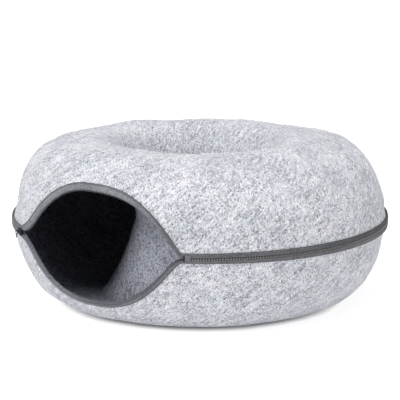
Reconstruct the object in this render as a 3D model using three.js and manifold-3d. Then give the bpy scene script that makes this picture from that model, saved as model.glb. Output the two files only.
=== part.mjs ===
// Ring-shaped felt cat tunnel. Two moulded felt halves meet in a zip round the widest line and in a
// sewn seam round the waist of the hub. The zip is open at the front left, where the two lips stand
// apart as an eye-shaped entrance.
//
// Frame: millimetres, +Z up, origin under the middle of the ring at the base. Azimuth is measured
// in degrees from the front (-Y) towards +X, so the entrance lies at negative azimuths.
import * as THREE from 'three';
import { mergeVertices } from 'three/addons/utils/BufferGeometryUtils.js';
import Module from 'manifold-3d';

// ---------- driving dimensions ----------
const WALL_RADIUS = 243.5; // felt wall at its widest, without the flare along the zip
const MIDDLE_HEIGHT = 108; // level of the zip line and of the seam at the waist
const CREST_RADIUS = 132;
const CREST_HEIGHT = 217;
const BASE_OUTER_RADIUS = 150; // flat ring that the tunnel rests on
const BASE_INNER_RADIUS = 132;
const WAIST_RADIUS = 81.5; // narrowest place of the hub
const FELT_THICKNESS = 4;
const SEAM_GAP = 0.3; // clearance between neighbouring pieces

// Superellipse powers of the four wall quadrants: 2 is an ellipse, 1 a straight line.
const ROUNDNESS = { shoulder: 2.55, belly: 2.3, dish: 2, cone: 1.25 };

// Close to the zip the seam draws the felt outwards.
const FLARE = { rise: 5.2, reach: 26, power: 2.2 };

// The back of the crest stands a little lower than its front, all of it beyond the second azimuth.
const SAG = { depth: 4.5, from: 98, to: 132 };

// Zip tape: one strip to each half. Where the zip is closed it stands upright off the felt, and
// where the zip is open it lies on the felt and turns a little inwards round the felt's edge.
const TAPE = {
  edgeThickness: 1.8,
  chainThickness: 2.6,
  backRadius: 247.5, // back face of the upright tape
  hem: 3.6, // from the zip line to the edge of the felt under the tape
  opening: 6, // lift of a lip at which its tape lies flat
  turn: 2,
  flat: 4, // width of tape that stays straight before it bends
  bendPower: 1.5,
  narrowing: 60, // degrees away from the entrance over which the closed tape widens
};
const TAPE_SHARES = [0, 0.4, 0.7, 1]; // columns across the tape, from its outer edge to the chain

// Entrance: an eye shape along the zip line. Each lip rises from both corners to its peak. A power
// above 1 draws the corner out, and ease rounds the place where the lip leaves the zip line.
const ENTRANCE = { left: -72, middle: -37, right: -5, fullness: 2.6, ease: 8 };
const UPPER_LIP = {
  side: 1,
  peak: 86.5,
  leftPower: 2.1,
  rightPower: 0.93,
  openReach: 9.3, // width of the tape along the open lip
  cornerReach: 6.5, // width at the corners of the entrance
  closedReach: 7, // width far from the entrance
};
const LOWER_LIP = {
  side: -1,
  peak: 82.5,
  leftPower: 2,
  rightPower: 1.06,
  openReach: 7.5,
  cornerReach: 6.5,
  closedReach: 8.7,
};

// Steps round the ring, finer along the entrance.
const AZIMUTH_SPANS = [
  { from: -90, to: -72, steps: 3 },
  { from: -72, to: -60, steps: 5 },
  { from: -60, to: -15, steps: 13 },
  { from: -15, to: -5, steps: 5 },
  { from: -5, to: 0, steps: 1 },
  { from: 0, to: 90, steps: 13 },
  { from: 90, to: 180, steps: 12 },
  { from: 180, to: 270, steps: 12 },
];
const ROWS = { shoulder: 7, dish: 5, belly: 7, base: 1, cone: 5 };
const QUADRANT_STEPS = 60; // points of each quadrant of the wall profile
const PROBE = { distance: 0.5, azimuth: 0.25 }; // half spans over which directions are measured

// Slider at the left corner, with the bridge that its pull hangs on.
const SLIDER = {
  azimuth: -68.2,
  length: 13,
  noseWidth: 10.5,
  tailWidth: 7.5,
  thickness: 2,
  corner: 2,
};
const BRIDGE = { length: 8, width: 1.8, height: 3, wall: 1.1 };
const PULL = {
  thickness: 1.2,
  loopWidth: 3.6,
  loopHeight: 4.6,
  tabWidth: 2,
  length: 10.6,
  rim: 0.75,
  round: 1.2,
  alongBar: -1.2, // place along the bridge, towards the slider's tail
};

// Plain tab folded over the end of the chain at the right corner.
const END_STOP = { azimuth: -3.4, length: 7.5, thickness: 1.2, clearance: 0.35, column: 2 };

// ---------- materials ----------
function material(color, roughness, metalness) {
  return new THREE.MeshStandardMaterial({ color, roughness, metalness });
}

const felt = () => material(0xcdd0d6, 0.95, 0);
const tape = () => material(0x67696e, 0.85, 0);
const darkMetal = () => material(0x3c3d40, 0.45, 0.8);

// ---------- wall profile ----------
// A quadrant of a superellipse from a point at its widest to a point at its highest or lowest.
function quadrant(start, end, power) {
  return Array.from({ length: QUADRANT_STEPS + 1 }, (_, i) => {
    const angle = (Math.PI / 2) * (i / QUADRANT_STEPS);
    const along = Math.cos(angle) ** (2 / power);
    const up = Math.sin(angle) ** (2 / power);
    return new THREE.Vector2(end.x + (start.x - end.x) * along, start.y + (end.y - start.y) * up);
  });
}

// A run of points (radius, height) that is read by the distance walked along it.
class Profile {
  constructor(points) {
    this.points = points;
    this.walked = [0];
    for (let i = 1; i < points.length; i += 1) {
      this.walked.push(this.walked[i - 1] + points[i].distanceTo(points[i - 1]));
    }
    this.length = this.walked[points.length - 1];
  }

  at(distance) {
    const last = this.points.length - 2;
    let i = 0;
    while (i < last && this.walked[i + 1] < distance) i += 1;
    const share = (distance - this.walked[i]) / (this.walked[i + 1] - this.walked[i]);
    return this.points[i].clone().lerp(this.points[i + 1], share);
  }

  // Unit normal pointing out of the wall; side is 1 above the zip line and -1 below it.
  normal(distance, side) {
    const before = this.at(Math.max(distance - PROBE.distance, 0));
    const after = this.at(Math.min(distance + PROBE.distance, this.length));
    const along = after.sub(before).normalize();
    return new THREE.Vector2(along.y * side, -along.x * side);
  }
}

// Moves the part of a quadrant that lies near the zip outwards.
function flared(points) {
  const { walked } = new Profile(points);
  return points.map((point, i) => {
    const share = Math.max(1 - walked[i] / FLARE.reach, 0);
    return new THREE.Vector2(point.x + FLARE.rise * share ** FLARE.power, point.y);
  });
}

const zipPoint = new THREE.Vector2(WALL_RADIUS, MIDDLE_HEIGHT);
const crestPoint = new THREE.Vector2(CREST_RADIUS, CREST_HEIGHT);
const baseOuterPoint = new THREE.Vector2(BASE_OUTER_RADIUS, 0);
const baseInnerPoint = new THREE.Vector2(BASE_INNER_RADIUS, 0);
const waistPoint = new THREE.Vector2(WAIST_RADIUS, MIDDLE_HEIGHT);

const shoulder = flared(quadrant(zipPoint, crestPoint, ROUNDNESS.shoulder));
const dish = quadrant(waistPoint, crestPoint, ROUNDNESS.dish).reverse();
const belly = flared(quadrant(zipPoint, baseOuterPoint, ROUNDNESS.belly));
const cone = quadrant(waistPoint, baseInnerPoint, ROUNDNESS.cone).reverse();
const upperWall = new Profile([...shoulder, ...dish.slice(1)]);
const lowerWall = new Profile([...belly, ...cone]);
const crestDistance = new Profile(shoulder).length;
const baseDistance = new Profile(belly).length;
const baseWidth = BASE_OUTER_RADIUS - BASE_INNER_RADIUS;

// ---------- lips of the entrance ----------
// Distance along the wall by which a lip has left the zip line.
function lipLift(azimuth, lip) {
  const onLeft = azimuth < ENTRANCE.middle;
  const corner = onLeft ? ENTRANCE.left : ENTRANCE.right;
  const power = onLeft ? lip.leftPower : lip.rightPower;
  const share = Math.min((azimuth - ENTRANCE.middle) / (corner - ENTRANCE.middle), 1);
  const lift = lip.peak * (1 - share ** ENTRANCE.fullness) ** power;
  return Math.hypot(lift, ENTRANCE.ease) - ENTRANCE.ease;
}

// Width of the tape where its zip is closed.
function closedReach(azimuth, lip) {
  const toRight = THREE.MathUtils.euclideanModulo(azimuth - ENTRANCE.right, 360);
  const toLeft = THREE.MathUtils.euclideanModulo(ENTRANCE.left - azimuth, 360);
  const isOpen = azimuth > ENTRANCE.left && azimuth < ENTRANCE.right;
  const share = isOpen ? 0 : Math.min(toRight / TAPE.narrowing, toLeft / TAPE.narrowing, 1);
  return THREE.MathUtils.lerp(lip.closedReach, lip.cornerReach, (1 - share) ** 2);
}

// Distance along the wall from the zip line to the outer edge of the tape.
function tapeEdge(azimuth, lip) {
  return closedReach(azimuth, lip) + lipLift(azimuth, lip);
}

// ---------- solids that run round the ring ----------
function around(azimuth, radius, height) {
  const angle = THREE.MathUtils.degToRad(azimuth);
  return new THREE.Vector3(radius * Math.sin(angle), -radius * Math.cos(angle), height);
}

// Height of a point once the back of the ring has sagged. Nothing moves at or below the zip line.
function settled(azimuth, height) {
  const fromFront = Math.min(Math.abs(azimuth), 360 - Math.abs(azimuth));
  const share = THREE.MathUtils.smoothstep(fromFront, SAG.from, SAG.to);
  const above = Math.max(height - MIDDLE_HEIGHT, 0) / (CREST_HEIGHT - MIDDLE_HEIGHT);
  return height - SAG.depth * share * above;
}

// Holds a point of an upper (side 1) or lower (side -1) piece half a gap away from the middle level.
function keepOnSide(point, side) {
  const level = MIDDLE_HEIGHT + (side * SEAM_GAP) / 2;
  point.z = side > 0 ? Math.max(point.z, level) : Math.min(point.z, level);
  return point;
}

const azimuths = AZIMUTH_SPANS.flatMap(({ from, to, steps }) =>
  Array.from({ length: steps }, (_, i) => from + ((to - from) * i) / steps));

// Joins closed sections, one at each azimuth, into one closed solid.
function ringGeometry(sectionAt, side) {
  const sections = azimuths.map(sectionAt);
  const count = sections[0].length;
  const positions = sections.flat().flatMap((point) => point.toArray());
  const indices = [];
  for (let i = 0; i < sections.length; i += 1) {
    const here = i * count;
    const next = ((i + 1) % sections.length) * count;
    for (let j = 0; j < count; j += 1) {
      const k = (j + 1) % count;
      const quad = [here + j, next + j, next + k, here + k];
      if (side < 0) quad.reverse();
      indices.push(quad[0], quad[1], quad[2], quad[0], quad[2], quad[3]);
    }
  }
  const geometry = new THREE.BufferGeometry();
  geometry.setAttribute('position', new THREE.Float32BufferAttribute(positions, 3));
  geometry.setIndex(indices);
  geometry.computeVertexNormals();
  return geometry;
}

// ---------- felt halves ----------
// Distances along a wall at which its rows lie: stops with a number of rows between each two.
function rowDistances(stops) {
  const distances = [stops[0].at];
  for (let i = 1; i < stops.length; i += 1) {
    for (let j = 1; j <= stops[i].rows; j += 1) {
      distances.push(THREE.MathUtils.lerp(stops[i - 1].at, stops[i].at, j / stops[i].rows));
    }
  }
  return distances;
}

// Closed section of a felt half: its outer face from the lip to the waist, then its inner face back.
function feltSection(azimuth, wall, side, distances) {
  const outer = [];
  const inner = [];
  for (const distance of distances) {
    const point = wall.at(distance);
    const back = point.clone().addScaledVector(wall.normal(distance, side), -FELT_THICKNESS);
    outer.push(around(azimuth, point.x, settled(azimuth, point.y)));
    inner.unshift(keepOnSide(around(azimuth, back.x, settled(azimuth, back.y)), side));
  }
  return [...outer, ...inner];
}

function upperShell() {
  return ringGeometry((azimuth) => {
    const stops = [
      { at: TAPE.hem + lipLift(azimuth, UPPER_LIP) },
      { at: crestDistance, rows: ROWS.shoulder },
      { at: upperWall.length - SEAM_GAP / 2, rows: ROWS.dish },
    ];
    return feltSection(azimuth, upperWall, 1, rowDistances(stops));
  }, 1);
}

function lowerShell() {
  return ringGeometry((azimuth) => {
    const stops = [
      { at: TAPE.hem + lipLift(azimuth, LOWER_LIP) },
      { at: baseDistance, rows: ROWS.belly },
      { at: baseDistance + baseWidth, rows: ROWS.base },
      { at: lowerWall.length - SEAM_GAP / 2, rows: ROWS.cone },
    ];
    return feltSection(azimuth, lowerWall, -1, rowDistances(stops));
  }, -1);
}

// ---------- zip tapes ----------
// Outer edge of a tape, with the way across the tape to the chain and the way out of its face.
function tapeFrame(azimuth, wall, lip, closedShare) {
  const edgeAt = (angle) => {
    const distance = tapeEdge(angle, lip);
    const point = wall.at(distance).addScaledVector(wall.normal(distance, lip.side), SEAM_GAP);
    const radius = THREE.MathUtils.lerp(point.x, TAPE.backRadius, closedShare);
    return around(angle, radius, settled(angle, point.y));
  };
  const flat = wall.normal(tapeEdge(azimuth, lip), lip.side);
  const wallNormal = around(azimuth, flat.x, flat.y);
  const along = edgeAt(azimuth + PROBE.azimuth).sub(edgeAt(azimuth - PROBE.azimuth)).normalize();
  const upright = new THREE.Vector3(0, 0, -lip.side);
  const across = wallNormal.cross(along).multiplyScalar(-lip.side).normalize();
  across.lerp(upright, closedShare).normalize();
  const normal = across.clone().cross(along).multiplyScalar(lip.side).normalize();
  return { edge: edgeAt(azimuth), across, normal };
}

// Closed section of a tape: front face from the chain to the outer edge, then the back face.
function tapeSection(azimuth, wall, lip) {
  const openShare = THREE.MathUtils.smoothstep(lipLift(azimuth, lip), 0, TAPE.opening);
  const { edge, across, normal } = tapeFrame(azimuth, wall, lip, 1 - openShare);
  const width = THREE.MathUtils.lerp(closedReach(azimuth, lip), lip.openReach, openShare);
  const room = (Math.abs(edge.z - MIDDLE_HEIGHT) - SEAM_GAP / 2) / Math.abs(across.z);
  const reach = Math.min(width, room);
  const flatShare = TAPE.flat / reach;
  const front = [];
  const back = [];
  for (const share of TAPE_SHARES) {
    const bend = Math.max(share - flatShare, 0) / (1 - flatShare);
    const drop = TAPE.turn * openShare * bend ** TAPE.bendPower;
    const thickness = THREE.MathUtils.lerp(TAPE.edgeThickness, TAPE.chainThickness, share);
    const foot = edge.clone().addScaledVector(across, reach * share).addScaledVector(normal, -drop);
    back.push(keepOnSide(foot.clone(), lip.side));
    front.unshift(keepOnSide(foot.clone().addScaledVector(normal, thickness), lip.side));
  }
  return [...front, ...back];
}

function zipTape(wall, lip) {
  return ringGeometry((azimuth) => tapeSection(azimuth, wall, lip), lip.side);
}

// ---------- slider, pull and end stop ----------
const ridgeRadius = Math.max(...tapeSection(END_STOP.azimuth, upperWall, UPPER_LIP)
  .map((point) => Math.hypot(point.x, point.y)));

// A group at an azimuth on the zip line: x runs along the zip, y up and z outwards.
function stationOnZip(azimuth) {
  const turn = new THREE.Group();
  turn.rotation.z = THREE.MathUtils.degToRad(azimuth);
  const station = new THREE.Group();
  station.rotation.x = Math.PI / 2;
  station.position.z = MIDDLE_HEIGHT;
  turn.add(station);
  return { turn, station };
}

const wasm = await Module();
wasm.setup();

function toSolid(geometry) {
  geometry.deleteAttribute('normal');
  geometry.deleteAttribute('uv');
  const merged = mergeVertices(geometry);
  const vertProperties = new Float32Array(merged.attributes.position.array);
  const triVerts = new Uint32Array(merged.index.array);
  return new wasm.Manifold(new wasm.Mesh({ numProp: 3, vertProperties, triVerts }));
}

function joined(first, second) {
  const mesh = toSolid(first).add(toSolid(second)).getMesh();
  const geometry = new THREE.BufferGeometry();
  geometry.setAttribute('position', new THREE.BufferAttribute(mesh.vertProperties, 3));
  geometry.setIndex(new THREE.BufferAttribute(mesh.triVerts, 1));
  geometry.computeVertexNormals();
  return geometry;
}

// Slider body: a plate with its wide nose towards the entrance and its narrow tail on the chain.
function sliderPlate() {
  const { length, noseWidth, tailWidth, thickness, corner } = SLIDER;
  const nose = length / 2;
  const outline = new THREE.Shape();
  outline.moveTo(-nose + corner, -tailWidth / 2);
  outline.quadraticCurveTo(0, -tailWidth / 2, nose / 2, -noseWidth / 2);
  outline.lineTo(nose - corner, -noseWidth / 2);
  outline.quadraticCurveTo(nose, -noseWidth / 2, nose, -noseWidth / 2 + corner);
  outline.lineTo(nose, noseWidth / 2 - corner);
  outline.quadraticCurveTo(nose, noseWidth / 2, nose - corner, noseWidth / 2);
  outline.lineTo(nose / 2, noseWidth / 2);
  outline.quadraticCurveTo(0, tailWidth / 2, -nose + corner, tailWidth / 2);
  outline.quadraticCurveTo(-nose, tailWidth / 2, -nose, 0);
  outline.quadraticCurveTo(-nose, -tailWidth / 2, -nose + corner, -tailWidth / 2);
  const settings = { depth: thickness, bevelEnabled: false, curveSegments: 4 };
  return new THREE.ExtrudeGeometry(outline, settings);
}

// Bridge: an arch along the slider, sunk a little into the plate.
function sliderBridge() {
  const { length, width, height, wall } = BRIDGE;
  const foot = -SLIDER.thickness / 2;
  const arch = new THREE.Shape();
  arch.moveTo(-length / 2, foot);
  arch.lineTo(-length / 2 + wall, foot);
  arch.lineTo(-length / 2 + wall, height - 2 * wall);
  arch.lineTo(-length / 2 + 2 * wall, height - wall);
  arch.lineTo(length / 2 - 2 * wall, height - wall);
  arch.lineTo(length / 2 - wall, height - 2 * wall);
  arch.lineTo(length / 2 - wall, foot);
  arch.lineTo(length / 2, foot);
  arch.lineTo(length / 2, height - wall);
  arch.lineTo(length / 2 - wall, height);
  arch.lineTo(-length / 2 + wall, height);
  arch.lineTo(-length / 2, height - wall);
  const geometry = new THREE.ExtrudeGeometry(arch, { depth: width, bevelEnabled: false });
  geometry.translate(0, 0, -width / 2);
  geometry.rotateX(Math.PI / 2);
  geometry.translate(0, 0, SLIDER.thickness);
  return geometry;
}

// Pull: a slim tab that hangs by its loop from the bar of the bridge. Its outline has y outwards
// from the middle of the bar and x downwards from the bar's top.
function sliderPull() {
  const { thickness, loopWidth, loopHeight, tabWidth, length, rim, round } = PULL;
  const top = -rim - SEAM_GAP;
  const outline = new THREE.Shape();
  outline.moveTo(top + round, -loopWidth / 2);
  outline.lineTo(top + loopHeight - rim, -loopWidth / 2);
  outline.lineTo(top + loopHeight + rim, -tabWidth / 2);
  outline.lineTo(top + length - rim, -tabWidth / 2);
  outline.quadraticCurveTo(top + length, -tabWidth / 2, top + length, 0);
  outline.quadraticCurveTo(top + length, tabWidth / 2, top + length - rim, tabWidth / 2);
  outline.lineTo(top + loopHeight + rim, tabWidth / 2);
  outline.lineTo(top + loopHeight - rim, loopWidth / 2);
  outline.lineTo(top + round, loopWidth / 2);
  outline.quadraticCurveTo(top, loopWidth / 2, top, 0);
  outline.quadraticCurveTo(top, -loopWidth / 2, top + round, -loopWidth / 2);
  const hole = new THREE.Path();
  hole.moveTo(-SEAM_GAP, -loopWidth / 2 + rim);
  hole.lineTo(-SEAM_GAP, loopWidth / 2 - rim);
  hole.lineTo(top + loopHeight - rim, loopWidth / 2 - rim);
  hole.lineTo(top + loopHeight - rim, -loopWidth / 2 + rim);
  hole.closePath();
  outline.holes.push(hole);
  const geometry = new THREE.ExtrudeGeometry(outline, { depth: thickness, bevelEnabled: false });
  geometry.translate(0, 0, -thickness / 2);
  return geometry;
}

// End stop: a strip that follows the front of the closed ridge between one column of either tape.
function endStop() {
  const ridgeLine = [[upperWall, UPPER_LIP], [lowerWall, LOWER_LIP]].flatMap(([wall, lip]) => {
    const section = tapeSection(END_STOP.azimuth, wall, lip);
    const points = [section[0], section[END_STOP.column]].map((point) =>
      new THREE.Vector2(Math.hypot(point.x, point.y), point.z - MIDDLE_HEIGHT));
    return lip.side > 0 ? points.reverse() : points;
  });
  const inner = ridgeLine.map(({ x, y }) => new THREE.Vector2(x + END_STOP.clearance, y));
  const outer = inner.map(({ x, y }) => new THREE.Vector2(x + END_STOP.thickness, y)).reverse();
  const outline = new THREE.Shape([...inner, ...outer]);
  const geometry = new THREE.ExtrudeGeometry(outline, { depth: END_STOP.length, bevelEnabled: false });
  geometry.translate(0, 0, -END_STOP.length / 2);
  geometry.rotateY(-Math.PI / 2);
  return geometry;
}

// ---------- assembly ----------
function piece(name, geometry, finish) {
  const mesh = new THREE.Mesh(geometry, finish);
  mesh.name = name;
  return mesh;
}

function sliderAssembly() {
  const { turn, station } = stationOnZip(SLIDER.azimuth);
  const body = piece('zip_slider', joined(sliderPlate(), sliderBridge()), darkMetal());
  body.position.z = ridgeRadius + SEAM_GAP;
  const pull = piece('slider_pull', sliderPull(), darkMetal());
  const barRadius = body.position.z + SLIDER.thickness + BRIDGE.height - BRIDGE.wall / 2;
  pull.position.set(PULL.alongBar, BRIDGE.width / 2, barRadius);
  pull.rotation.set(0, Math.PI / 2, -Math.PI / 2);
  station.add(body, pull);
  return turn;
}

function endStopAssembly() {
  const { turn, station } = stationOnZip(END_STOP.azimuth);
  station.add(piece('zip_end_stop', endStop(), tape()));
  return turn;
}

const tunnel = new THREE.Group();
tunnel.add(piece('upper_shell', upperShell(), felt()));
tunnel.add(piece('lower_shell', lowerShell(), felt()));
tunnel.add(piece('upper_zip_tape', zipTape(upperWall, UPPER_LIP), tape()));
tunnel.add(piece('lower_zip_tape', zipTape(lowerWall, LOWER_LIP), tape()));
tunnel.add(sliderAssembly());
tunnel.add(endStopAssembly());

export default tunnel;
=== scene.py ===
"""Ring-shaped felt cat tunnel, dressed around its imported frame.

Shapes are worked out in millimetres and turned into metres when a mesh is made. Azimuth is in
degrees from the front (-Y) towards +X, so the entrance lies at negative azimuths.
"""
import functools
import math

import bpy
import numpy as np
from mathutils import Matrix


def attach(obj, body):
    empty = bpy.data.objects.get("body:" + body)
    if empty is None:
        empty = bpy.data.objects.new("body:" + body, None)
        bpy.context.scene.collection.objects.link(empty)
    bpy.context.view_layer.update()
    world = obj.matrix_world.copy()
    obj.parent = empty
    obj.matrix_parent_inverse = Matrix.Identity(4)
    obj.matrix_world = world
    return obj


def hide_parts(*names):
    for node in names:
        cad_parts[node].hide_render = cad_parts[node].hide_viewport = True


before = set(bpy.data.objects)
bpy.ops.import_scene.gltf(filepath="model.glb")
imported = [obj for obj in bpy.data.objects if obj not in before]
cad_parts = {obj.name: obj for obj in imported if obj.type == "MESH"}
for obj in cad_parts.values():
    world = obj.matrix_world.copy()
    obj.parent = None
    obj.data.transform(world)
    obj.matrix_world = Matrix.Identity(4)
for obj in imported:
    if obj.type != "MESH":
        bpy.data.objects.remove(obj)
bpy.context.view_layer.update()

# ---------- dimensions shared with the frame ----------
WALL_RADIUS = 243.5
MIDDLE_HEIGHT = 108.0
CREST_RADIUS, CREST_HEIGHT = 132.0, 217.0
BASE_OUTER_RADIUS, BASE_INNER_RADIUS = 150.0, 132.0
WAIST_RADIUS = 81.5
FELT_THICKNESS = 4.0
SEAM_GAP = 0.3
ROUNDNESS = {"shoulder": 2.55, "belly": 2.3, "dish": 2.0, "cone": 1.25}
FLARE = {"rise": 5.2, "reach": 26.0, "power": 2.2}
SAG = {"depth": 4.5, "from": 98.0, "to": 132.0}
TAPE = {
    "edge_thickness": 1.8, "chain_thickness": 2.6, "back_radius": 247.5, "hem": 3.6,
    "opening": 6.0, "turn": 2.0, "flat": 4.0, "bend_power": 1.5, "narrowing": 60.0,
    "corner_reach": 6.5,
}
ENTRANCE = {"left": -72.0, "middle": -37.0, "right": -5.0, "fullness": 2.6, "ease": 8.0}
# Lips of the two halves: side is 1 above the zip line and -1 below it. Reaches are widths of the
# tape, open, closed, and open beside the right corner. pale_after is the lift at which the right
# part has its full open colour, a paler painted sheen. The next two values go from 1, painted
# light, to -1, painted shade: one on the ring's right side and one on the lip's left part, which
# also turns in less by flat_left.
LIPS = {
    "upper": {
        "side": 1, "peak": 86.5, "left_power": 2.1, "right_power": 0.93, "open_reach": 9.3,
        "closed_reach": 7.0, "slim_reach": 5.2, "pale_after": 70.0, "right_painted_light": -0.65,
        "left_painted_light": 0.0, "flat_left": 0.0,
    },
    "lower": {
        "side": -1, "peak": 82.5, "left_power": 2.0, "right_power": 1.06, "open_reach": 7.5,
        "closed_reach": 8.7, "slim_reach": 6.6, "pale_after": 6.0, "right_painted_light": 0.25,
        "left_painted_light": 1.0, "flat_left": 0.75,
    },
}
SLIDER_AZIMUTH = -68.2
RIDGE_RADIUS = TAPE["back_radius"] + TAPE["chain_thickness"]

# ---------- resolution ----------
# Steps round the ring: start azimuth, end azimuth and step, in degrees.
STATION_SPANS = [(-90.0, -75.0, 1.0), (-75.0, -3.0, 0.5), (-3.0, 270.0, 1.0)]
ROWS = {"shoulder": 42, "dish": 26, "belly": 40, "base": 4, "cone": 26}
QUADRANT_STEPS = 240
PROBE = {"distance": 0.5, "azimuth": 0.25}
MM = 0.001


def smoothstep(value, low, high):
    share = np.clip((value - low) / (high - low), 0.0, 1.0)
    return share * share * (3.0 - 2.0 * share)


def lerp(first, second, share):
    return first + (second - first) * share


def unit(vectors):
    return vectors / np.linalg.norm(vectors, axis=-1, keepdims=True)


def walked(points):
    """Distance walked along a line of points, from 0 at its start."""
    steps = np.linalg.norm(np.diff(points, axis=0), axis=1)
    return np.concatenate([[0.0], np.cumsum(steps)])


def degrees_apart(azimuth, other):
    """Degrees between two azimuths, the shorter way round."""
    return np.abs((azimuth - other + 180.0) % 360.0 - 180.0)


# ---------- wall profile ----------
def quadrant(start, end, power):
    """Points (radius, height) of a superellipse quadrant from its widest point to its crest or foot."""
    angle = np.linspace(0.0, math.pi / 2, QUADRANT_STEPS + 1)
    along = np.cos(angle).clip(0) ** (2.0 / power)
    up = np.sin(angle) ** (2.0 / power)
    radius = end[0] + (start[0] - end[0]) * along
    return np.stack([radius, start[1] + (end[1] - start[1]) * up], axis=-1)


class Profile:
    """A run of points (radius, height) that is read by the distance walked along it."""

    def __init__(self, points):
        self.points = points
        self.walked = walked(points)
        self.length = self.walked[-1]

    def at(self, distance):
        return np.stack([np.interp(distance, self.walked, axis) for axis in self.points.T], axis=-1)

    def normal(self, distance, side):
        """Unit normal out of the wall; side is 1 above the zip line and -1 below it."""
        before = self.at(np.maximum(distance - PROBE["distance"], 0.0))
        after = self.at(np.minimum(distance + PROBE["distance"], self.length))
        along = unit(after - before)
        return np.stack([along[..., 1] * side, -along[..., 0] * side], axis=-1)


def flared(points):
    """Moves the part of a quadrant that lies near the zip outwards."""
    share = np.maximum(1.0 - Profile(points).walked / FLARE["reach"], 0.0)
    points[:, 0] += FLARE["rise"] * share ** FLARE["power"]
    return points


zip_point = (WALL_RADIUS, MIDDLE_HEIGHT)
waist_point = (WAIST_RADIUS, MIDDLE_HEIGHT)
shoulder = flared(quadrant(zip_point, (CREST_RADIUS, CREST_HEIGHT), ROUNDNESS["shoulder"]))
dish = quadrant(waist_point, (CREST_RADIUS, CREST_HEIGHT), ROUNDNESS["dish"])[::-1]
belly = flared(quadrant(zip_point, (BASE_OUTER_RADIUS, 0.0), ROUNDNESS["belly"]))
cone = quadrant(waist_point, (BASE_INNER_RADIUS, 0.0), ROUNDNESS["cone"])[::-1]
# Walls of the upper (1) and lower (-1) half, from the zip line to the middle hole.
WALLS = {
    1: Profile(np.concatenate([shoulder, dish[1:]])),
    -1: Profile(np.concatenate([belly, cone])),
}
CREST_DISTANCE = Profile(shoulder).length
BASE_DISTANCE = Profile(belly).length
BASE_WIDTH = BASE_OUTER_RADIUS - BASE_INNER_RADIUS


# ---------- lips of the entrance ----------
def lip_lift(azimuth, lip):
    """Distance along the wall by which a lip has left the zip line."""
    on_left = azimuth < ENTRANCE["middle"]
    corner = np.where(on_left, ENTRANCE["left"], ENTRANCE["right"])
    power = np.where(on_left, lip["left_power"], lip["right_power"])
    share = np.minimum((azimuth - ENTRANCE["middle"]) / (corner - ENTRANCE["middle"]), 1.0)
    lift = lip["peak"] * (1.0 - share ** ENTRANCE["fullness"]) ** power
    return np.hypot(lift, ENTRANCE["ease"]) - ENTRANCE["ease"]


def closed_reach(azimuth, lip):
    """Width of the tape where its zip is closed."""
    to_right = np.mod(azimuth - ENTRANCE["right"], 360.0)
    to_left = np.mod(ENTRANCE["left"] - azimuth, 360.0)
    share = np.minimum(np.minimum(to_right, to_left) / TAPE["narrowing"], 1.0)
    is_open = (azimuth > ENTRANCE["left"]) & (azimuth < ENTRANCE["right"])
    share = np.where(is_open, 0.0, share)
    return lerp(lip["closed_reach"], TAPE["corner_reach"], (1.0 - share) ** 2)


def tape_edge(azimuth, lip):
    """Distance along the wall from the zip line to the outer edge of the tape."""
    return closed_reach(azimuth, lip) + lip_lift(azimuth, lip)


def around(azimuth, radius, height):
    angle = np.radians(azimuth)
    x, y = radius * np.sin(angle), -radius * np.cos(angle)
    return np.stack(np.broadcast_arrays(x, y, height), axis=-1)


def settled(azimuth, height):
    """Height of a point once the back of the ring has sagged."""
    share = smoothstep(degrees_apart(azimuth, 0.0), SAG["from"], SAG["to"])
    above = np.maximum(height - MIDDLE_HEIGHT, 0.0) / (CREST_HEIGHT - MIDDLE_HEIGHT)
    return height - SAG["depth"] * share * above


def keep_on_side(points, side):
    """Holds points half a gap above (side 1) or below (side -1) the middle level."""
    level = MIDDLE_HEIGHT + side * SEAM_GAP / 2
    clip = np.maximum if side > 0 else np.minimum
    points[..., 2] = clip(points[..., 2], level)
    return points


STATIONS = np.concatenate([np.arange(*span) for span in STATION_SPANS])


# ---------- meshes ----------
def in_scene(name, data):
    made = bpy.data.objects.new(name, data)
    bpy.context.scene.collection.objects.link(made)
    return made


def add_object(name, vertices, faces, uvs=None):
    """Makes a smooth-shaded mesh object from vertices in millimetres."""
    mesh = bpy.data.meshes.new(name)
    mesh.from_pydata((np.asarray(vertices) * MM).tolist(), [], faces)
    if uvs is not None:
        layer = mesh.uv_layers.new(name="across")
        layer.data.foreach_set("uv", np.asarray(uvs, np.float32).ravel())
    mesh.polygons.foreach_set("use_smooth", [True] * len(mesh.polygons))
    mesh.update()
    return in_scene(name, mesh)


def ring_object(name, grid, side, marks, along=None, across=None):
    """Joins closed sections, one row of the grid each, into one closed ring.

    marks are named values of the points. along and across are texture coordinates in metres, each
    with one value more than the grid, because the ring closes.
    """
    rings, count = grid.shape[:2]
    ring, place = np.meshgrid(np.arange(rings), np.arange(count), indexing="ij")
    corners = [(ring, place), (ring + 1, place), (ring + 1, place + 1), (ring, place + 1)]
    if side < 0:
        corners.reverse()
    quads = np.stack([r % rings * count + p % count for r, p in corners], axis=-1)
    uvs = None
    if along is not None:
        uvs = np.stack([np.stack([along[r], across[p]], axis=-1) for r, p in corners], axis=2)
    made = add_object(name, grid.reshape(-1, 3), quads.reshape(-1, 4).tolist(), uvs)
    for mark, values in marks.items():
        layer = made.data.attributes.new(mark, "FLOAT", "POINT")
        layer.data.foreach_set("value", np.broadcast_to(values, (rings, count)).ravel())
    return made


def mark_value(tree, mark):
    return node(tree, "Attribute", attribute_name=mark).outputs["Fac"]


def finish_piece(piece, material, slot, *nodes):
    """Gives a piece its material, and lets it stand for nodes of the frame. slot is not used."""
    piece.data.materials.append(material)
    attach(piece, "root")
    if nodes:
        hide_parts(*nodes)
    return piece


# ---------- shader nodes ----------
def new_material(name):
    material = bpy.data.materials.new(name)
    material.use_nodes = True
    return material, material.node_tree, material.node_tree.nodes["Principled BSDF"]


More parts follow.
